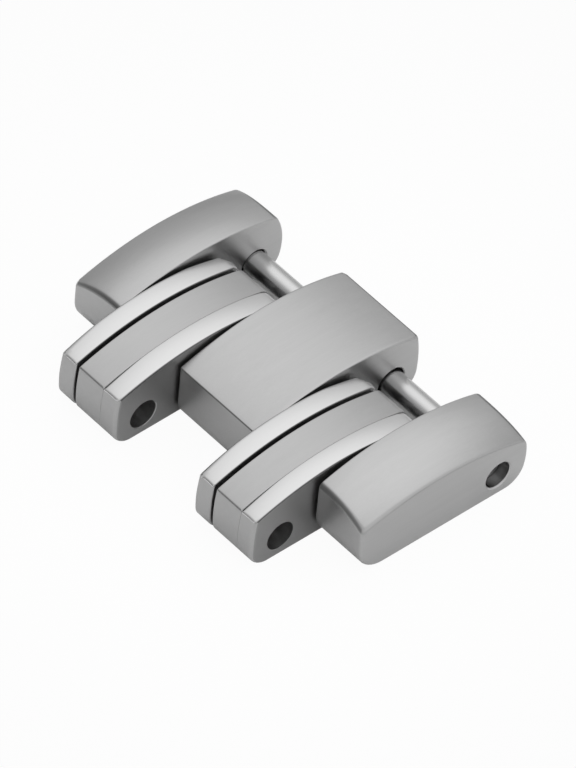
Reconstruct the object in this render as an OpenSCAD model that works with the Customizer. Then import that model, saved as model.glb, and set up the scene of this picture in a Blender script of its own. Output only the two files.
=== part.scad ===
// Link of a steel watch bracelet, in millimetres.
// X runs along the pins, Y along the bracelet, and Z away from the wrist.
// The fixed pin lies over the origin, and z = 0 is the underside of every piece.
// The main row (outer link, centre link, outer link) points its nose to +Y, and the
// two intermediate groups (strip, bar, strip) point theirs to -Y.

/* [Widths along the pins] */
// Centre link
centre_w = 5.28; // [4:0.04:7]
// Bar in the middle of each intermediate group
bar_w = 1.67; // [1.2:0.01:2.4]
// Polished strip on each side of a bar
strip_w = 1.06; // [0.8:0.02:1.6]
// Outer link
outer_w = 3.09; // [2.8:0.01:4]
// Play between a group and the link beside it
side_gap = 0.12; // [0.05:0.01:0.2]
// Play between a bar and the strip on its left
open_gap = 0.2; // [0.05:0.01:0.3]
// Play between a bar and the strip on its right
tight_gap = 0.04; // [0.03:0.01:0.2]

/* [Lengths along the bracelet] */
// From the fixed pin to either end hole
half_pitch = 5.18; // [4.9:0.02:6]
// From an end hole to the end of the nose round it
nose_reach = 1.72; // [1.6:0.02:1.9]
// From the fixed pin to the tail face of the main row
row_tail = 3.24; // [2.9:0.02:3.3]
// From the fixed pin to the tail face of an intermediate piece
group_tail = 3.24; // [2.9:0.02:3.3]

/* [Heights over the underside] */
// Axis of every pin and end hole
pin_height = 1.2; // [1.1:0.02:1.4]
// Highest point of the centre link
centre_top = 4.02; // [3.6:0.02:4.4]
// Highest point of an outer link
outer_top = 4.2; // [3.6:0.05:4.4]
// Highest point of a bar
bar_top = 3.98; // [3.4:0.02:4.2]
// Highest point of a strip
strip_top = 4; // [3.4:0.02:4.2]

/* [Curved faces] */
// Radius of the arched tops, seen from the side
arch_r = 15.5; // [13:0.5:20]
// From the fixed pin to the crest of the centre link's arch, towards the nose
centre_shift = 1.9; // [1:0.1:2.2]
// The same on an outer link
outer_shift = 1.3; // [1:0.1:2]
// The same on an intermediate piece
group_shift = 1.6; // [1:0.1:2]
// Radius of the bulging nose face of the main row
row_bulge_r = 5.5; // [5.5:0.5:12]
// The same on an intermediate piece, which is flatter
group_bulge_r = 10; // [6:0.5:12]
// Height at which a nose reaches furthest
bulge_height = 1.6; // [1.2:0.1:1.8]
// Radius of an outer link's crown, seen from the end
outer_crown_r = 5.5; // [5:0.5:12]
// From an outer link's inner face to the crest of its crown
outer_crest = 0.4; // [0.2:0.1:1.5]
// Radius of a strip's domed top, seen from the end
strip_dome_r = 1.6; // [1.2:0.1:3]

/* [Rounded corners] */
// Under the nose of each piece
nose_corner = 1.1; // [0.8:0.05:1.4]
// Under the tail of an outer link
outer_tail_corner = 1.5; // [0.5:0.05:1.8]
// Under the tail of each other piece
tail_corner = 1; // [0.5:0.05:1.4]
// Over the tail of an intermediate piece
group_tail_round = 0.7; // [0.4:0.05:1.2]
// Long top edges of the centre link and the bars
edge_round = 0.1; // [0.05:0.01:0.2]
// Long top edge at an outer link's side face
outer_edge_round = 0.3; // [0.1:0.05:0.4]
// Upright edge between an outer link's side and tail faces
outer_end_round = 0.3; // [0.2:0.05:0.6]
// Upright edges of a strip at its tail
strip_tail_round = 0.38; // [0.1:0.02:0.4]

/* [Pins and holes] */
// Diameter of both pins
pin_d = 1.35; // [1:0.05:1.4]
// Depth of the removable pin's ends inside the side faces
pin_recess = 0.6; // [0.3:0.05:1]
// Bevel on the ends of both pins
pin_bevel = 0.1; // [0.05:0.01:0.2]
// Radial clearance of the fixed pin in the pieces that turn on it
turn_clearance = 0.03; // [0.02:0.01:0.05]
// Depth of the blind socket that grips each end of the fixed pin
socket_depth = 1.7; // [1:0.1:2]
// Hole for the removable pin through each outer link
outer_hole_d = 1.46; // [1.4:0.02:1.6]
// Hole for the pin collar through the centre link
collar_hole_d = 1.6; // [1.56:0.02:1.7]
// Length of the pin collar
collar_len = 3; // [2:0.1:3.6]
// Radial clearance of the removable pin in its collar
grip_clearance = 0.02; // [0.01:0.01:0.05]
// Hole at the nose of each intermediate piece
free_hole_d = 1.54; // [1.4:0.02:1.6]

/* [Hidden] */

brushed = "#b6b6b6";
polished = "#dcdcdc";
turned = "#a3a3a3";

group_w = strip_w + open_gap + bar_w + tight_gap + strip_w;
slot_w = group_w + 2 * side_gap;
outer_x = centre_w / 2 + slot_w;
link_w = 2 * (outer_x + outer_w);
nose_y = half_pitch + nose_reach;
left_group_x = -outer_x + side_gap;
right_group_x = centre_w / 2 + side_gap;
bar_dx = strip_w + open_gap;
inner_strip_dx = bar_dx + bar_w + tight_gap;

// Cutters and blanks run past what they cut by this much
past = 1;
crossing = 0.01;
fine = 360;
round_fn = 96;

// Rectangle with a radius for each corner, from the lower left anticlockwise
module round_box(low, high, radii) {
    corners = [low, [high.x, low.y], high, [low.x, high.y]];
    inward = [[1, 1], [-1, 1], [-1, -1], [1, -1]];
    difference() {
        translate(low) square(high - low);
        for (i = [0:3])
            if (radii[i] > 0) corner_cut(corners[i], inward[i], radii[i]);
    }
}

// What a rounded corner takes off a square one
module corner_cut(corner, inward, r) {
    centre = corner + r * inward;
    outside = corner - past * inward;
    difference() {
        translate([min(centre.x, outside.x), min(centre.y, outside.y)]) square(r + past);
        translate(centre) circle(r, $fn = round_fn);
    }
}

// Side view of a piece with its nose to +Y and its top left square
module side_outline(tail, corner, bulge_r) {
    intersection() {
        round_box([-tail, 0], [nose_y, outer_top + past], [corner, nose_corner, 0, 0]);
        translate([nose_y - bulge_r, bulge_height]) circle(bulge_r, $fn = fine);
    }
}

// What rounds the top of the tail. Its circle has its centre at [y, z] where it would just
// touch the tail face and the arch, and stands a little further out so that they cross.
module tail_top_cut(tail, top, r) {
    arch = [group_shift, top - arch_r];
    y = r - tail;
    z = arch.y + sqrt(pow(arch_r - r, 2) - pow(y - arch.x, 2));
    outward = ([y, z] - arch) / (arch_r - r);
    rim = arch + (arch_r + past) * outward;
    difference() {
        polygon([[y, z], rim, [-tail - past, rim.y], [-tail - past, z]]);
        translate([y, z] + crossing * outward) circle(r, $fn = round_fn);
    }
}

// Side view pushed out along X from x0 to x1
module along_x(x0, x1) {
    translate([x0, 0, 0]) rotate([90, 0, 90]) linear_extrude(x1 - x0) children();
}

// End view swept round an arch whose crest is at top: in it, x is the height over the
// underside, and y is the place along the pins
module over_arch(shift, top) {
    translate([0, shift, top - arch_r]) rotate([0, 90, 0])
        rotate_extrude($fn = fine) translate([arch_r - top, 0]) children();
}

// Hole across a piece from x0 to x1
module bore(x0, x1, y, d) {
    translate([x0, y, pin_height]) rotate([0, 90, 0]) cylinder(d = d, h = x1 - x0, $fn = round_fn);
}

// Solid of a main row piece, or of an intermediate one when it is turned
module blank(x0, x1, tail, corner, bulge_r, shift, top) {
    intersection() {
        along_x(x0 - past, x1 + past) side_outline(tail, corner, bulge_r);
        over_arch(shift, top) children();
    }
}

// Outer link on the right, with its side face at the full width
module outer_link() {
    x1 = outer_x + outer_w;
    difference() {
        intersection() {
            blank(outer_x, x1, row_tail, outer_tail_corner, row_bulge_r, outer_shift, outer_top)
                intersection() {
                    round_box([-past, outer_x], [outer_top, x1], [0, edge_round, outer_edge_round, 0]);
                    translate([outer_top - outer_crown_r, outer_x + outer_crest])
                        circle(outer_crown_r, $fn = fine);
                }
            translate([0, 0, -past]) linear_extrude(outer_top + 2 * past)
                round_box([outer_x, -row_tail], [x1, nose_y + past], [0, outer_end_round, 0, 0]);
        }
        bore(outer_x - past, outer_x + socket_depth, 0, pin_d);
        bore(outer_x - past, x1 + past, half_pitch, outer_hole_d);
    }
}

// Centre link, drilled for the pins and the collar
module centre_block() {
    half = centre_w / 2;
    difference() {
        blank(-half, half, row_tail, tail_corner, row_bulge_r, centre_shift, centre_top)
            round_box([-past, -half], [centre_top, half], [0, edge_round, edge_round, 0]);
        bore(-half - past, half + past, 0, pin_d + 2 * turn_clearance);
        bore(-half - past, half + past, half_pitch, collar_hole_d);
    }
}

// Holes of an intermediate piece whose nose points to -Y
module group_bores(x0, x1) {
    bore(x0 - past, x1 + past, 0, pin_d + 2 * turn_clearance);
    bore(x0 - past, x1 + past, -half_pitch, free_hole_d);
}

// Blank of an intermediate piece: made nose to +Y, rounded over its tail and mirrored
module group_blank(x0, x1, top) {
    mirror([0, 1, 0]) difference() {
        blank(x0, x1, group_tail, tail_corner, group_bulge_r, group_shift, top) children();
        along_x(x0 - past, x1 + past) tail_top_cut(group_tail, top, group_tail_round);
    }
}

// Brushed bar between two strips
module bar(x0) {
    x1 = x0 + bar_w;
    difference() {
        group_blank(x0, x1, bar_top)
            round_box([-past, x0], [bar_top, x1], [0, edge_round, edge_round, 0]);
        group_bores(x0, x1);
    }
}

// Polished strip with a domed top and a rounded tail
module strip(x0) {
    x1 = x0 + strip_w;
    tip = strip_tail_round;
    difference() {
        intersection() {
            group_blank(x0, x1, strip_top)
                intersection() {
                    round_box([-past, x0], [strip_top, x1], [0, edge_round, edge_round, 0]);
                    union() {
                        translate([strip_top - strip_dome_r, (x0 + x1) / 2]) circle(strip_dome_r, $fn = fine);
                        translate([-past, x0]) square([strip_top - strip_dome_r + past, strip_w]);
                    }
                }
            translate([0, 0, -past]) linear_extrude(strip_top + 2 * past)
                round_box([x0, -nose_y - past], [x1, group_tail], [0, 0, tip, tip]);
        }
        group_bores(x0, x1);
    }
}

// Round pin centred on x = 0, bevelled at both ends
module pin(length, y) {
    r = pin_d / 2;
    translate([-length / 2, y, pin_height]) rotate([0, 90, 0]) union() {
        cylinder(r1 = r - pin_bevel, r2 = r, h = pin_bevel, $fn = round_fn);
        translate([0, 0, pin_bevel]) cylinder(r = r, h = length - 2 * pin_bevel, $fn = round_fn);
        translate([0, 0, length - pin_bevel])
            cylinder(r1 = r, r2 = r - pin_bevel, h = pin_bevel, $fn = round_fn);
    }
}

module outer_link_right() { color(brushed) outer_link(); }
module outer_link_left() { color(brushed) mirror([1, 0, 0]) outer_link(); }
module centre_link() { color(brushed) centre_block(); }
module left_strip_outer() { color(polished) strip(left_group_x); }
module left_bar() { color(brushed) bar(left_group_x + bar_dx); }
module left_strip_inner() { color(polished) strip(left_group_x + inner_strip_dx); }
module right_strip_inner() { color(polished) strip(right_group_x); }
module right_bar() { color(brushed) bar(right_group_x + bar_dx); }
module right_strip_outer() { color(polished) strip(right_group_x + inner_strip_dx); }
module fixed_pin() { color(turned) pin(2 * (outer_x + socket_depth), 0); }
module removable_pin() { color(turned) pin(link_w - 2 * pin_recess, half_pitch); }
module pin_collar() {
    color(turned) translate([-collar_len / 2, half_pitch, pin_height]) rotate([0, 90, 0]) difference() {
        cylinder(d = collar_hole_d, h = collar_len, $fn = round_fn);
        translate([0, 0, -past])
            cylinder(d = pin_d + 2 * grip_clearance, h = collar_len + 2 * past, $fn = round_fn);
    }
}

outer_link_left();
left_strip_outer();
left_bar();
left_strip_inner();
centre_link();
right_strip_inner();
right_bar();
right_strip_outer();
outer_link_right();
fixed_pin();
removable_pin();
pin_collar();
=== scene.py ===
import math

import bmesh
import bpy
from mathutils import Matrix, Vector


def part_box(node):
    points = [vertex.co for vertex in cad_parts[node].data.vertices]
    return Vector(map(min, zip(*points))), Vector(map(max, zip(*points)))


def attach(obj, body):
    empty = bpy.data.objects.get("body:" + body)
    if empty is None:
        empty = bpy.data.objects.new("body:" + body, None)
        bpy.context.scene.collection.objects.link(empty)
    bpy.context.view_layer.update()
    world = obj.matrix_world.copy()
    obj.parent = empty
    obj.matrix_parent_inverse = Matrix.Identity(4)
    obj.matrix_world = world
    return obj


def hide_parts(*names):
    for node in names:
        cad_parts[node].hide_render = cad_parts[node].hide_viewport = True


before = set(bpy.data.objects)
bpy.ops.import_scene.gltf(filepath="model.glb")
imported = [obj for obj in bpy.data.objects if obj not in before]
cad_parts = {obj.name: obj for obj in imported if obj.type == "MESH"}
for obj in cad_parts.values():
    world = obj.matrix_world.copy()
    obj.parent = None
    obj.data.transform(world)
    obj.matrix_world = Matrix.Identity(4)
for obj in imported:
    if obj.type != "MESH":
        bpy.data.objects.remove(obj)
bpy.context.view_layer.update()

# Camera
# The link is seen from its front right, from above, through a long lens that hardly
# converges. The picture is turned a little, and one millimetre covers about 22 pixels.
MM = 0.001
FRAME_W = 576
FRAME_CENTRE = (288, 384)
PIXELS_PER_MM = 21.88
VIEW_AZIMUTH = 44.5
VIEW_ELEVATION = 46.33
VIEW_ROLL = 5.86
VIEW_DISTANCE = 500 * MM
AIM = Vector((0, 1.09, 1.5)) * MM
AIM_PIXEL = (286.8, 383.9)
SENSOR_WIDTH = 36
NEAREST_SEEN = 0.01
FURTHEST_SEEN = 10

azimuth, elevation, roll = (math.radians(a) for a in (VIEW_AZIMUTH, VIEW_ELEVATION, VIEW_ROLL))
flat = math.cos(elevation)
back = Vector((math.sin(azimuth) * flat, -math.cos(azimuth) * flat, math.sin(elevation)))
level = Vector((math.cos(azimuth), math.sin(azimuth), 0))
upright = back.cross(level)
right = level * math.cos(roll) + upright * math.sin(roll)
up = upright * math.cos(roll) - level * math.sin(roll)
pixel = MM / PIXELS_PER_MM
place = AIM + back * VIEW_DISTANCE + right * (FRAME_CENTRE[0] - AIM_PIXEL[0]) * pixel
place += up * (AIM_PIXEL[1] - FRAME_CENTRE[1]) * pixel

lens = bpy.data.cameras.new("camera")
lens.sensor_fit = "HORIZONTAL"
lens.sensor_width = SENSOR_WIDTH
lens.lens = SENSOR_WIDTH * VIEW_DISTANCE / (FRAME_W * pixel)
lens.clip_start = NEAREST_SEEN
lens.clip_end = FURTHEST_SEEN
camera = bpy.data.objects.new("camera", lens)
camera.matrix_world = Matrix.Translation(place) @ Matrix((right, up, back)).transposed().to_4x4()
bpy.context.scene.collection.objects.link(camera)
bpy.context.scene.camera = camera

# Floor
# A plain white sheet under the link. Away from the link it is greyed with painted shade, so that
# the far floor mirrors dim. It takes the link's soft shadow, and is lifted to white where it is
# looked at.
FLOOR_SIZE = 2.0
NEAR_COLOUR = (0.97, 0.97, 0.97)
# Painted shade: the floor's colour far from the link.
FAR_SHADE_COLOUR = (0.32, 0.32, 0.32)
NEAR_RADIUS = 12 * MM
FAR_RADIUS = 45 * MM
SEEN_LIFT = 0.95
MIRRORED_LIFT = 0.03


class Wire:
    """A socket on its way through a material's nodes. Numbers combine with the usual signs,
    and every other node is made by node()."""

    def __init__(self, tree, socket=None):
        self.tree = tree
        self.socket = socket

    def node(self, kind, settings=None, sockets=None, output=0):
        """Adds a node with its settings, then the values or links of its sockets."""
        made = self.tree.nodes.new(kind)
        for name, value in (settings or {}).items():
            setattr(made, name, value)
        for name, value in (sockets or {}).items():
            if isinstance(value, Wire):
                self.tree.links.new(value.socket, made.inputs[name])
            else:
                made.inputs[name].default_value = value
        return Wire(self.tree, made.outputs[output] if made.outputs else None)

    def maths(self, operation, first, second):
        return self.node("ShaderNodeMath", {"operation": operation}, {0: first, 1: second})

    def __add__(self, other):
        return self.maths("ADD", self, other)

    def __sub__(self, other):
        return self.maths("SUBTRACT", self, other)

    def __rsub__(self, other):
        return self.maths("SUBTRACT", other, self)

    def __mul__(self, other):
        return self.maths("MULTIPLY", self, other)

    def __pow__(self, other):
        return self.maths("POWER", self, other)

    __radd__ = __add__
    __rmul__ = __mul__


bpy.ops.mesh.primitive_grid_add(x_subdivisions=2, y_subdivisions=2, size=FLOOR_SIZE)
floor = bpy.context.object
floor.name = "floor"
paper = bpy.data.materials.new("white_paper")
paper.use_nodes = True
paper.node_tree.nodes.clear()
wire = Wire(paper.node_tree)
spot = wire.node("ShaderNodeTexCoord", output="Object")
away = wire.node("ShaderNodeVectorMath", {"operation": "LENGTH"}, {0: spot}, "Value")
far = wire.node(
    "ShaderNodeMapRange", None, {"Value": away, "From Min": NEAR_RADIUS, "From Max": FAR_RADIUS}
)
sheet = wire.node(
    "ShaderNodeMix", {"data_type": "RGBA"}, {0: far, 6: (*NEAR_COLOUR, 1), 7: (*FAR_SHADE_COLOUR, 1)}, 2
)
matt = wire.node("ShaderNodeBsdfDiffuse", None, {"Color": sheet})
white = wire.node("ShaderNodeEmission", None, {"Color": (1, 1, 1, 1), "Strength": 1})
seen = wire.node("ShaderNodeLightPath", output="Is Camera Ray")
mirrored = wire.node("ShaderNodeLightPath", output="Is Glossy Ray")
through = wire.node("ShaderNodeLightPath", output="Is Transmission Ray")
lift = (seen + through) * SEEN_LIFT + mirrored * MIRRORED_LIFT
mixed = wire.node("ShaderNodeMixShader", None, {0: lift, 1: matt, 2: white})
wire.node("ShaderNodeOutputMaterial", None, {"Surface": mixed})
floor.data.materials.append(paper)

# Studio light
# A broad soft lamp hangs nearly overhead in a pale room. The room is brighter at the right,
# and dimmest at the front left, so that edges turned that way draw a thin dark line. It is
# a little dimmer low at the left and at the back, which the ends of the arched tops mirror.
ROOM_LEVEL = 0.59
LAMP_LEVEL = 0.58
LAMP_DIRECTION = Vector((-0.15, 0.31, 0.94))
LAMP_FOOT = 0.63
LAMP_FULL = 0.98
FILL_DIRECTION = Vector((0.92, 0.32, 0.22))
FILL_LEVEL = 0.25
FILL_SPREAD = 2
# Each dim part of the room: its direction, how much light it lacks, and how narrow it is.
DIM_PARTS = (
    (Vector((-0.48, -0.84, 0.2)), 0.85, 6),
    (Vector((-0.97, 0.05, 0.2)), 0.45, 30),
    (Vector((0.2, 0.88, 0.42)), 0.32, 16),
)

room = bpy.data.worlds.new("room")
bpy.context.scene.world = room
room.use_nodes = True
room.node_tree.nodes.clear()
wire = Wire(room.node_tree)
ray = wire.node("ShaderNodeTexCoord", output="Generated")


def towards(direction, spread):
    """How nearly a ray runs in a direction, from 0 beside it to 1 along it."""
    facing = wire.node(
        "ShaderNodeVectorMath", {"operation": "DOT_PRODUCT"}, {0: ray, 1: direction}, "Value"
    )
    return wire.maths("MAXIMUM", facing, 0) ** spread


lamp = wire.node("ShaderNodeMapRange", {"interpolation_type": "SMOOTHSTEP"}, {
    "Value": towards(LAMP_DIRECTION, 1), "From Min": LAMP_FOOT, "From Max": LAMP_FULL,
    "To Min": ROOM_LEVEL, "To Max": ROOM_LEVEL + LAMP_LEVEL
})
strength = lamp + towards(FILL_DIRECTION, FILL_SPREAD) * FILL_LEVEL
for direction, share, spread in DIM_PARTS:
    strength = strength * (1 - towards(direction, spread) * share)
light = wire.node("ShaderNodeBackground", None, {"Color": (1, 1, 1, 1), "Strength": strength})
wire.node("ShaderNodeOutputWorld", None, {"Surface": light})
bpy.context.scene.view_settings.view_transform = "Standard"

# Outer links
# Solid steel blocks at both ends of the row, milled, drilled for the pins and brushed.
# The top is arched along the bracelet and crowned towards the side face.
ARCH_R = 15.5 * MM
PIN_HEIGHT = 1.2 * MM
HALF_PITCH = 5.18 * MM
OUTER_TOP = 4.2 * MM
LEFT_SHIFT = 1.7 * MM
RIGHT_SHIFT = 1.3 * MM
BULGE_HEIGHT = 1.6 * MM
OUTER_BULGE_R = 3.6 * MM
OUTER_ROUNDS = (1.1 * MM, 0.6 * MM, 0.36 * MM, 1.5 * MM)
OUTER_CROWN_R = 5.5 * MM
OUTER_CREST = 0.4 * MM
OUTER_HOLE_R = 0.73 * MM
SOCKET_R = 0.68 * MM
SOCKET_DEPTH = 1.7 * MM
RIM_BEVEL = 0.07 * MM
# How far a face of the hole's polished rim is turned to the side, at least and at most.
RIM_SLOPES = (0.3, 0.95)
# Radius in millimetres of the edge round each side, by the way the outline faces there:
# -90 is under the piece, 0 the nose, 90 the top, 180 the tail, 270 underneath again.
SIDE_EDGE = (
    (-90, 0.03), (0, 0.1), (70, 0.08), (90, 0.1), (104, 0.15), (120, 0.2), (180, 0.18), (270, 0.18)
)
INNER_EDGE = ((-90, 0.1), (0, 0.1), (100, 0.06), (120, 0.08), (180, 0.08), (270, 0.06))
# How finely the outline, the rounded edges, the flat span between them and holes are cut up.
ROUND_STEPS = 10
BULGE_STEPS = 12
CORNER_STEPS = 8
ARCH_STEPS = 40
EDGE_STEPS = 8
SPAN_STEPS = 8
HOLE_SIDES = 72
WELD = 1e-7
# Edges that turn by more than this many degrees stay hard.
SHARPEST = 32


def arc(centre, radius, start, end, steps):
    """Points round a centre in the side view, each with the way it faces in radians."""
    turns = [start + (end - start) * i / steps for i in range(steps + 1)]
    return [(centre[0] + radius * math.cos(t), centre[1] + radius * math.sin(t), t) for t in turns]


def angle(centre, point):
    """The way from a centre to a point, in radians."""
    return math.atan2(point[1] - centre[1], point[0] - centre[0])


def side_view(nose, tail, top, shift, bulge_r, rounds):
    """Outline of a piece with its nose to +Y, anticlockwise from under the nose, where
    rounds starts as well. shift is from the fixed pin to the crest of the arch."""
    low_nose, high_nose, high_tail, low_tail = rounds
    bulge = (nose - bulge_r, BULGE_HEIGHT)
    past_bulge = math.sqrt((bulge_r - low_nose) ** 2 - (BULGE_HEIGHT - low_nose) ** 2)
    under = (bulge[0] + past_bulge, low_nose)
    arch = (shift, top - ARCH_R)
    reach_bulge = bulge_r - high_nose
    reach_arch = ARCH_R - high_nose
    gap = math.dist(bulge, arch)
    along = (reach_bulge ** 2 - reach_arch ** 2 + gap ** 2) / (2 * gap)
    aside = math.sqrt(reach_bulge ** 2 - along ** 2)
    step = ((arch[0] - bulge[0]) / gap, (arch[1] - bulge[1]) / gap)
    front_y = bulge[0] + along * step[0] - aside * step[1]
    front = (front_y, bulge[1] + along * step[1] + aside * step[0])
    rear_y = high_tail - tail
    rear = (rear_y, arch[1] + math.sqrt((ARCH_R - high_tail) ** 2 - (rear_y - arch[0]) ** 2))
    tuck, lean = angle(bulge, under), angle(bulge, front)
    crest, fall = angle(arch, front), angle(arch, rear)
    points = arc(under, low_nose, -math.pi / 2, tuck, ROUND_STEPS)
    points += arc(bulge, bulge_r, tuck, lean, BULGE_STEPS)[1:]
    points += arc(front, high_nose, lean, crest, CORNER_STEPS)[1:]
    points += arc(arch, ARCH_R, crest, fall, ARCH_STEPS)[1:]
    points += arc(rear, high_tail, fall, math.pi, ROUND_STEPS)[1:]
    points += arc((low_tail - tail, low_tail), low_tail, math.pi, 1.5 * math.pi, ROUND_STEPS)
    return points


def edge_depth(stops, facing, distance):
    """How far a rounded edge draws the outline in, at a distance from the side face."""
    turn = math.degrees(facing)
    for (start, first), (end, last) in zip(stops, stops[1:]):
        if turn <= end:
            break
    radius = (first + (last - first) * (turn - start) / (end - start)) * MM
    return radius - math.sqrt(radius ** 2 - (radius - distance) ** 2) if distance < radius else 0


def block(name, low, high, outline, left_edge, right_edge, turned=False):
    """Solid between flat sides at low and high, with a rounded edge round each. outline(x) is
    its side view at x, and turned points its nose to -Y."""
    half = (high - low) / 2
    left_deep = min(max(radius for _, radius in left_edge) * MM, half)
    right_deep = min(max(radius for _, radius in right_edge) * MM, half)
    places = [low + left_deep * (i / EDGE_STEPS) ** 2 for i in range(EDGE_STEPS + 1)]
    span = high - right_deep - low - left_deep
    places += [low + left_deep + span * i / SPAN_STEPS for i in range(1, SPAN_STEPS)]
    places += [high - right_deep * (i / EDGE_STEPS) ** 2 for i in range(EDGE_STEPS, -1, -1)]
    form = bmesh.new()
    rings = []
    for x in places:
        ring = []
        for y, z, facing in outline(x):
            left_cut = edge_depth(left_edge, facing, x - low)
            depth = max(left_cut, edge_depth(right_edge, facing, high - x))
            y -= depth * math.cos(facing)
            z -= depth * math.sin(facing)
            ring.append(form.verts.new((x, -y if turned else y, z)))
        rings.append(ring)
    for ring, other in zip(rings, rings[1:]):
        for i in range(len(ring)):
            j = (i + 1) % len(ring)
            form.faces.new((ring[i], ring[j], other[j], other[i]))
    form.faces.new(rings[0])
    form.faces.new(rings[-1])
    bmesh.ops.recalc_face_normals(form, faces=form.faces)
    return finished(name, form)


def lathe(name, profile, y):
    """Turned solid round an axis along X. The profile is a closed loop of (x, radius)."""
    form = bmesh.new()
    rings = []
    for i in range(HOLE_SIDES):
        turn = 2 * math.pi * i / HOLE_SIDES
        aside, above = math.cos(turn), math.sin(turn)
        ring = [form.verts.new((x, y + r * aside, PIN_HEIGHT + r * above)) for x, r in profile]
        rings.append(ring)
    for i in range(HOLE_SIDES):
        ring, other = rings[i], rings[(i + 1) % HOLE_SIDES]
        for j in range(len(profile)):
            k = (j + 1) % len(profile)
            form.faces.new((ring[j], ring[k], other[k], other[j]))
    bmesh.ops.remove_doubles(form, verts=form.verts, dist=WELD)
    bmesh.ops.dissolve_degenerate(form, edges=form.edges, dist=WELD)
    bmesh.ops.recalc_face_normals(form, faces=form.faces)
    return finished(name, form)


def finished(name, form):
    """Makes a piece of the scene out of a form."""
    mesh = bpy.data.meshes.new(name)
    form.to_mesh(mesh)
    form.free()
    piece = bpy.data.objects.new(name, mesh)
    bpy.context.scene.collection.objects.link(piece)
    return piece


def through_hole(low, high, radius, bevel):
    """Profile of a hole from side to side, with a bevel at both mouths."""
    past = MM
    flare = radius + past + bevel
    ends = [(low - past, 0), (low - past, flare), (low + bevel, radius)]
    return ends + [(high - bevel, radius), (high + past, flare), (high + past, 0)]


def drill(piece, profile, y):
    """Cuts a hole across the piece and turns the result into its mesh."""
    bit = lathe("drill", profile, y)
    cut = piece.modifiers.new("hole", "BOOLEAN")
    cut.operation = "DIFFERENCE"
    cut.solver = "EXACT"
    cut.object = bit
    bpy.context.view_layer.update()
    shaped = piece.evaluated_get(bpy.context.evaluated_depsgraph_get())
    mesh = bpy.data.meshes.new_from_object(shaped)
    piece.modifiers.clear()
    old = piece.data
    piece.data = mesh
    bpy.data.meshes.remove(old)
    bpy.data.objects.remove(bit)


def smooth(piece):
    """Smooth shading that keeps flat faces flat and hard edges hard."""
    form = bmesh.new()
    form.from_mesh(piece.data)
    for face in form.faces:
        face.smooth = True
    for edge in form.edges:
        edge.smooth = edge.is_manifold and edge.calc_face_angle(0) < math.radians(SHARPEST)
    form.to_mesh(piece.data)
    form.free()
    weigh = piece.modifiers.new("flat_faces", "WEIGHTED_NORMAL")
    weigh.keep_sharp = True
    weigh.weight = 100


# Depth of the brushing marks, their share of the colour's change, and how many times wider
# and longer the broad bands are that give the rest of it.
MARK_DEPTH = 0.002 * MM
MARK_SHARE = 0.6
BANDS_WIDER = 8
BANDS_LONGER = 3


def steel(name, colour, roughness, grain, contrast, painted_light=()):
    """Stainless steel with fine marks along or across the bracelet. grain is how many marks
    there are to a metre across and along it, and contrast how strongly they show. Each entry of
    painted_light is painted light or shade, by the way the surface faces: a direction, a colour
    and how far a surface turns there. The colour starts at the first share, is full from the
    second to the third, and ends at the fourth."""
    made = bpy.data.materials.new(name)
    made.use_nodes = True
    made.node_tree.nodes.clear()
    wire = Wire(made.node_tree)
    spot = wire.node("ShaderNodeTexCoord", output="Object")
    across, along = grain
    fine = wire.node(
        "ShaderNodeVectorMath", {"operation": "MULTIPLY"}, {0: spot, 1: (across, along, across)}
    )
    marks = wire.node("ShaderNodeTexNoise", None, {"Vector": fine, "Scale": 1, "Detail": 3})
    wide = across / BANDS_WIDER
    broad = wire.node(
        "ShaderNodeVectorMath", {"operation": "MULTIPLY"},
        {0: spot, 1: (wide, along / BANDS_LONGER, wide)}
    )
    bands = wire.node("ShaderNodeTexNoise", None, {"Vector": broad, "Scale": 1, "Detail": 2})
    dark = tuple(c * (1 - contrast) for c in colour)
    pale = tuple(c * (1 + contrast) for c in colour)
    tone = wire.node(
        "ShaderNodeMix", {"data_type": "RGBA"},
        {0: marks * MARK_SHARE + bands * (1 - MARK_SHARE), 6: (*dark, 1), 7: (*pale, 1)}, 2
    )
    normal = wire.node("ShaderNodeTexCoord", output="Normal")
    # Painted light and shade, laid over the steel's colour by the way the surface faces.
    for direction, shade, (start, full, fade, end) in painted_light:
        turn = wire.node(
            "ShaderNodeVectorMath", {"operation": "DOT_PRODUCT"}, {0: normal, 1: direction}, "Value"
        )
        rising = wire.node(
            "ShaderNodeMapRange", None, {"Value": turn, "From Min": start, "From Max": full}
        )
        falling = wire.node(
            "ShaderNodeMapRange", None, {"Value": turn, "From Min": end, "From Max": fade}
        )
        tone = wire.node(
            "ShaderNodeMix", {"data_type": "RGBA"}, {0: rising * falling, 6: tone, 7: (*shade, 1)}, 2
        )
    relief = wire.node(
        "ShaderNodeBump", None, {"Height": marks, "Strength": contrast, "Distance": MARK_DEPTH}
    )
    finish = wire.node("ShaderNodeBsdfPrincipled", None, {
        "Base Color": tone, "Metallic": 1, "Normal": relief,
        "Roughness": marks * contrast + (roughness - contrast / 2)
    })
    wire.node("ShaderNodeOutputMaterial", None, {"Surface": finish})
    return made


# Painted shade: the rounding between the arch and either end is painted with a thin dark
# line, in place of the dark reflection it would show.
FRONT_PAINTED_SHADE = ((0, -0.82, 0.57), (0.32, 0.32, 0.32), (0.88, 0.95, 1.1, 1.2))
REAR_PAINTED_SHADE = ((0, 0.82, 0.57), (0.2, 0.2, 0.2), (0.84, 0.93, 1.1, 1.2))
LINK_COLOUR = (0.52, 0.52, 0.52)
LINK_ROUGHNESS = 0.34
# The rim's lighter colour is partly its own finer polish and partly a painted highlight.
RIM_HIGHLIGHT_COLOUR = (0.6, 0.6, 0.6)
RIM_ROUGHNESS = 0.45
BRUSHED = {"grain": (26000, 420), "contrast": 0.1}
POLISHED = {"grain": (9000, 700), "contrast": 0.03}

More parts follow.
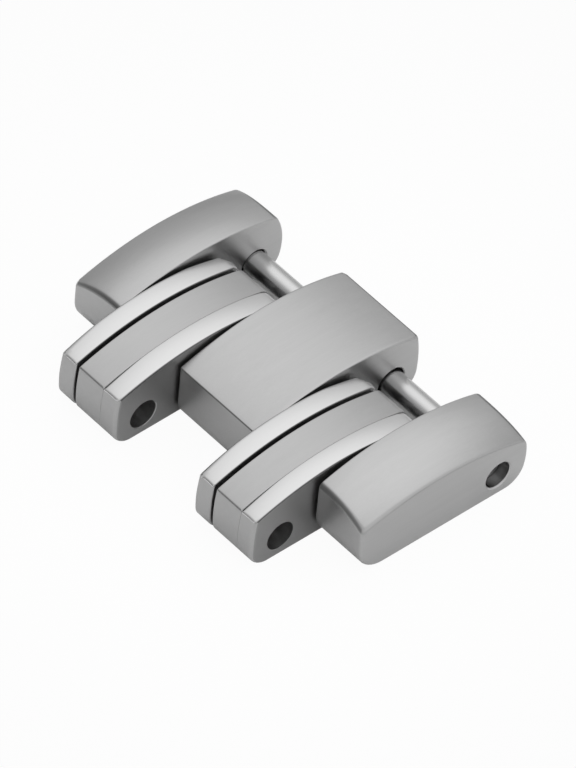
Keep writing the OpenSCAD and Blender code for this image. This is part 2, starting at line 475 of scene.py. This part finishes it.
painted_marks = (FRONT_PAINTED_SHADE, REAR_PAINTED_SHADE)
link_steel = steel("brushed_link_steel", LINK_COLOUR, LINK_ROUGHNESS, painted_light=painted_marks, **BRUSHED)
rim_steel = steel("polished_rim_highlight_steel", RIM_HIGHLIGHT_COLOUR, RIM_ROUGHNESS, **POLISHED)
for side_name in ("left", "right"):
    node = "outer_link_" + side_name
    low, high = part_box(node)
    inner, inward = (high.x, -1) if side_name == "left" else (low.x, 1)
    edges = (SIDE_EDGE, INNER_EDGE) if side_name == "left" else (INNER_EDGE, SIDE_EDGE)
    shift = LEFT_SHIFT if side_name == "left" else RIGHT_SHIFT

    def outer_outline(x):
        past_crest = abs(x - inner) - OUTER_CREST
        crown = OUTER_CROWN_R - math.sqrt(OUTER_CROWN_R ** 2 - past_crest ** 2)
        return side_view(high.y, -low.y, OUTER_TOP - crown, shift, OUTER_BULGE_R, OUTER_ROUNDS)

    piece = block(node + "_block", low.x, high.x, outer_outline, *edges)
    drill(piece, through_hole(low.x, high.x, OUTER_HOLE_R, RIM_BEVEL), HALF_PITCH)
    outside, floor_x = inner - inward * MM, inner + inward * SOCKET_DEPTH
    drill(piece, [(outside, 0), (outside, SOCKET_R), (floor_x, SOCKET_R), (floor_x, 0)], 0)
    smooth(piece)
    piece.data.materials.append(link_steel)
    piece.data.materials.append(rim_steel)
    mouth = low.x if side_name == "left" else high.x
    for face in piece.data.polygons:
        off = math.dist((face.center.y, face.center.z), (HALF_PITCH, PIN_HEIGHT))
        slanted = RIM_SLOPES[0] < abs(face.normal.x) < RIM_SLOPES[1]
        if slanted and off < OUTER_HOLE_R + RIM_BEVEL and abs(face.center.x - mouth) < RIM_BEVEL:
            face.material_index = 1
    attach(piece, "main_row")
    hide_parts(node)

# Centre link
# The widest solid block of the row, flat across its top. Its rear bore is wider than the
# pin, because it holds the collar that grips it.
CENTRE_TOP = 4.02 * MM
CENTRE_SHIFT = 1.9 * MM
CENTRE_BULGE_R = 8 * MM
CENTRE_ROUNDS = (1.1 * MM, 0.3 * MM, 0.1 * MM, 0.9 * MM)
CENTRE_EDGE = (
    (-90, 0.1), (0, 0.2), (50, 0.3), (76, 0.12), (90, 0.06), (120, 0.06), (180, 0.12), (270, 0.1)
)
COLLAR_HOLE_R = 0.8 * MM
COLLAR_HOLE_BEVEL = 0.05 * MM
TURN_HOLE_R = 0.705 * MM
BORE_BEVEL = 0.03 * MM

low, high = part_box("centre_link")


def centre_outline(x):
    return side_view(high.y, -low.y, CENTRE_TOP, CENTRE_SHIFT, CENTRE_BULGE_R, CENTRE_ROUNDS)


piece = block("centre_link_block", low.x, high.x, centre_outline, CENTRE_EDGE, CENTRE_EDGE)
drill(piece, through_hole(low.x, high.x, COLLAR_HOLE_R, COLLAR_HOLE_BEVEL), HALF_PITCH)
drill(piece, through_hole(low.x, high.x, TURN_HOLE_R, BORE_BEVEL), 0)
smooth(piece)
piece.data.materials.append(link_steel)
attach(piece, "main_row")
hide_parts("centre_link")

# Bars
# The brushed middle piece of each intermediate group. It points its nose forward and
# turns on the fixed pin, and its front hole takes the next link's pin.
BAR_TOP = 3.965 * MM
GROUP_SHIFT = 1.5 * MM
GROUP_BULGE_R = 9 * MM
BAR_ROUNDS = (0.95 * MM, 0.14 * MM, 0.7 * MM, 0.9 * MM)
BAR_EDGE = ((-90, 0.05), (90, 0.04), (270, 0.05))
# The edge of a side that all but touches its neighbour: sharp along the top.
SNUG_EDGE = (
    (-90, 0.01), (0, 0.01), (40, 0.04), (60, 0.11), (71, 0.1), (75, 0.06), (78, 0.015), (81, 0.006),
    (102, 0.006), (105, 0.05), (112, 0.1), (140, 0.04), (270, 0.02)
)
SNUG_GAP = 0.006 * MM
FREE_HOLE_R = 0.77 * MM
BAR_COLOUR = (0.5, 0.5, 0.5)
BAR_ROUGHNESS = 0.36
# Painted shade: the tails of a group are painted darker, for the shaded gap they face, which
# the pin behind them mirrors.
TAIL_PAINTED_SHADE = ((0, 1, 0), (0.21, 0.21, 0.21), (0.6, 0.85, 1.1, 1.2))

bar_steel = steel("brushed_bar_steel", BAR_COLOUR, BAR_ROUGHNESS, painted_light=(TAIL_PAINTED_SHADE,), **BRUSHED)
for side_name in ("left", "right"):
    node = side_name + "_bar"
    low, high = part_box(node)

    def bar_outline(x):
        return side_view(-low.y, high.y, BAR_TOP, GROUP_SHIFT, GROUP_BULGE_R, BAR_ROUNDS)

    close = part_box(side_name + ("_strip_inner" if side_name == "left" else "_strip_outer"))[0].x
    reach = close - SNUG_GAP
    piece = block(node + "_block", low.x, reach, bar_outline, BAR_EDGE, SNUG_EDGE, turned=True)
    drill(piece, through_hole(low.x, high.x, FREE_HOLE_R, BORE_BEVEL), -HALF_PITCH)
    drill(piece, through_hole(low.x, high.x, TURN_HOLE_R, BORE_BEVEL), 0)
    smooth(piece)
    piece.data.materials.append(bar_steel)
    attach(piece, node)
    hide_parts(node)

# Strips
# Narrow steel pieces that turn on the fixed pin at both sides of each bar. Only the slightly
# domed top is polished, so that it stands out bright. The nose is brushed and the sides are
# ground. The sides are painted a little darker and the tail darker still: painted shade.
STRIP_TOP = 3.99 * MM
STRIP_DOME_R = 4.5 * MM
STRIP_ROUNDS = (0.95 * MM, 0.19 * MM, 0.9 * MM, 0.9 * MM)
LEFT_EDGE = (
    (-90, 0.05), (0, 0.15), (25, 0.36), (66, 0.36), (78, 0.1), (98, 0.08),
    (104, 0.25), (113, 0.5), (130, 0.7), (180, 0.75), (270, 0.1)
)
RIGHT_EDGE = (
    (-90, 0.05), (0, 0.25), (40, 0.22), (60, 0.14), (74, 0.1), (104, 0.08),
    (130, 0.3), (180, 0.4), (270, 0.05)
)
PLAY_EDGE = (
    (-90, 0.08), (0, 0.12), (60, 0.08), (100, 0.08), (130, 0.25), (180, 0.35), (270, 0.08)
)
# A face is part of the polished top when it lies above this height and turns up by at least
# this much, and part of a ground side with painted shade when it turns to the side by at least
# this much.
FACET_LOWEST = 2 * MM
FACET_SLOPE = 0.3
SIDE_SLOPE = 0.9
# How much the rightmost strip narrows towards its nose, and where that starts and ends.
SLIMMED = 0.08 * MM
SLIM_FROM = 2 * MM
SLIM_TO = -2.5 * MM

# Painted shade and light: the polished top is painted with a thin dark line at its long edges,
# and with a painted highlight round the nose, where it would mirror dark.
NOSE_PAINTED_HIGHLIGHT = ((0, -0.82, 0.57), (1, 1, 1), (0.84, 0.95, 1.1, 1.2))
LEFT_PAINTED_SHADE = ((-1, 0, 0), (0.15, 0.15, 0.15), (0.45, 0.7, 1.1, 1.2))
RIGHT_PAINTED_SHADE = ((1, 0, 0), (0.15, 0.15, 0.15), (0.45, 0.7, 1.1, 1.2))
FACET_COLOUR = (0.69, 0.69, 0.69)
FACET_ROUGHNESS = 0.29
# Painted shade: the ground sides' darker colour, for the narrow gaps between the pieces.
SIDE_SHADE_COLOUR = (0.36, 0.36, 0.36)
SIDE_ROUGHNESS = 0.4
GROUND = {"grain": (3000, 3000), "contrast": 0.06}

painted_marks = (TAIL_PAINTED_SHADE, NOSE_PAINTED_HIGHLIGHT, LEFT_PAINTED_SHADE, RIGHT_PAINTED_SHADE)
facet_steel = steel("polished_strip_steel", FACET_COLOUR, FACET_ROUGHNESS, painted_light=painted_marks, **POLISHED)
side_steel = steel("ground_side_steel_with_painted_shade", SIDE_SHADE_COLOUR, SIDE_ROUGHNESS, painted_light=(TAIL_PAINTED_SHADE,), **GROUND)
for node in ("left_strip_outer", "left_strip_inner", "right_strip_inner", "right_strip_outer"):
    low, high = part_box(node)
    on_left = node in ("left_strip_outer", "right_strip_inner")

    def strip_outline(x):
        off = abs(x - (low.x + high.x) / 2)
        dome = STRIP_DOME_R - math.sqrt(STRIP_DOME_R ** 2 - off ** 2)
        return side_view(-low.y, high.y, STRIP_TOP - dome, GROUP_SHIFT, GROUP_BULGE_R, STRIP_ROUNDS)

    edges = (LEFT_EDGE, PLAY_EDGE) if on_left else (SNUG_EDGE, RIGHT_EDGE)
    piece = block(node + "_block", low.x, high.x, strip_outline, *edges, turned=True)
    if node == "right_strip_outer":
        for point in piece.data.vertices:
            share = min(max((SLIM_FROM - point.co.y) / (SLIM_FROM - SLIM_TO), 0), 1)
            ease = share * share * (3 - 2 * share)
            point.co.x -= SLIMMED * ease * (point.co.x - low.x) / (high.x - low.x)
    drill(piece, through_hole(low.x, high.x, FREE_HOLE_R, BORE_BEVEL), -HALF_PITCH)
    drill(piece, through_hole(low.x, high.x, TURN_HOLE_R, BORE_BEVEL), 0)
    smooth(piece)
    piece.data.materials.append(facet_steel)
    piece.data.materials.append(bar_steel)
    piece.data.materials.append(side_steel)
    for face in piece.data.polygons:
        on_top = face.center.z > FACET_LOWEST and face.normal.z > FACET_SLOPE
        on_side = abs(face.normal.x) > SIDE_SLOPE
        face.material_index = 0 if on_top else 2 if on_side else 1
    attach(piece, node)
    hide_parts(node)

# Pins
# Drawn and ground round wire with bevelled ends. One is pressed into the outer links and
# carries the groups; the other is pushed in from the side and held by the collar.
PIN_R = 0.675 * MM
PIN_BEVEL = 0.1 * MM
# A face is part of a cut end when it turns to the side by more than this.
CUT_SLOPE = 0.8
PIN_COLOUR = (0.64, 0.64, 0.64)
PIN_ROUGHNESS = 0.22
DRAWN = {"grain": (600, 15000), "contrast": 0.02}
# Painted shade: the cut ends are rougher, and their dark colour stands in for the shade of the holes
# they sit in.
CUT_END_SHADE_COLOUR = (0.36, 0.36, 0.36)
CUT_ROUGHNESS = 0.5

pin_steel = steel("ground_pin_steel", PIN_COLOUR, PIN_ROUGHNESS, **DRAWN)
cut_steel = steel("cut_and_shaded_pin_steel", CUT_END_SHADE_COLOUR, CUT_ROUGHNESS, **GROUND)
for node, y, body in (("fixed_pin", 0, "main_row"), ("removable_pin", HALF_PITCH, "removable_pin")):
    low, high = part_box(node)
    soft = PIN_BEVEL / 4
    profile = [(low.x, 0), (low.x, PIN_R - PIN_BEVEL), (low.x + soft, PIN_R - PIN_BEVEL + soft * 2)]
    profile += [(low.x + PIN_BEVEL - soft, PIN_R - soft / 2), (low.x + PIN_BEVEL, PIN_R)]
    profile += [(-x, r) for x, r in reversed(profile)]
    piece = lathe(node + "_wire", profile, y)
    smooth(piece)
    piece.data.materials.append(pin_steel)
    piece.data.materials.append(cut_steel)
    for face in piece.data.polygons:
        face.material_index = 1 if abs(face.normal.x) > CUT_SLOPE else 0
    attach(piece, body)
    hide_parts(node)

# Collar
# Short steel tube pushed into the middle of the centre link's rear bore. It grips the
# removable pin, and can't be seen until the pin is out.
GRIP_R = 0.695 * MM
COLLAR_BEVEL = 0.02 * MM

low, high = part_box("pin_collar")
outside = [(low.x + COLLAR_BEVEL, COLLAR_HOLE_R), (high.x - COLLAR_BEVEL, COLLAR_HOLE_R)]
ends = [(high.x, COLLAR_HOLE_R - COLLAR_BEVEL), (high.x, GRIP_R)]
profile = outside + ends + [(low.x, GRIP_R), (low.x, COLLAR_HOLE_R - COLLAR_BEVEL)]
piece = lathe("pin_collar_tube", profile, HALF_PITCH)
smooth(piece)
piece.data.materials.append(pin_steel)
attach(piece, "main_row")
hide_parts("pin_collar")
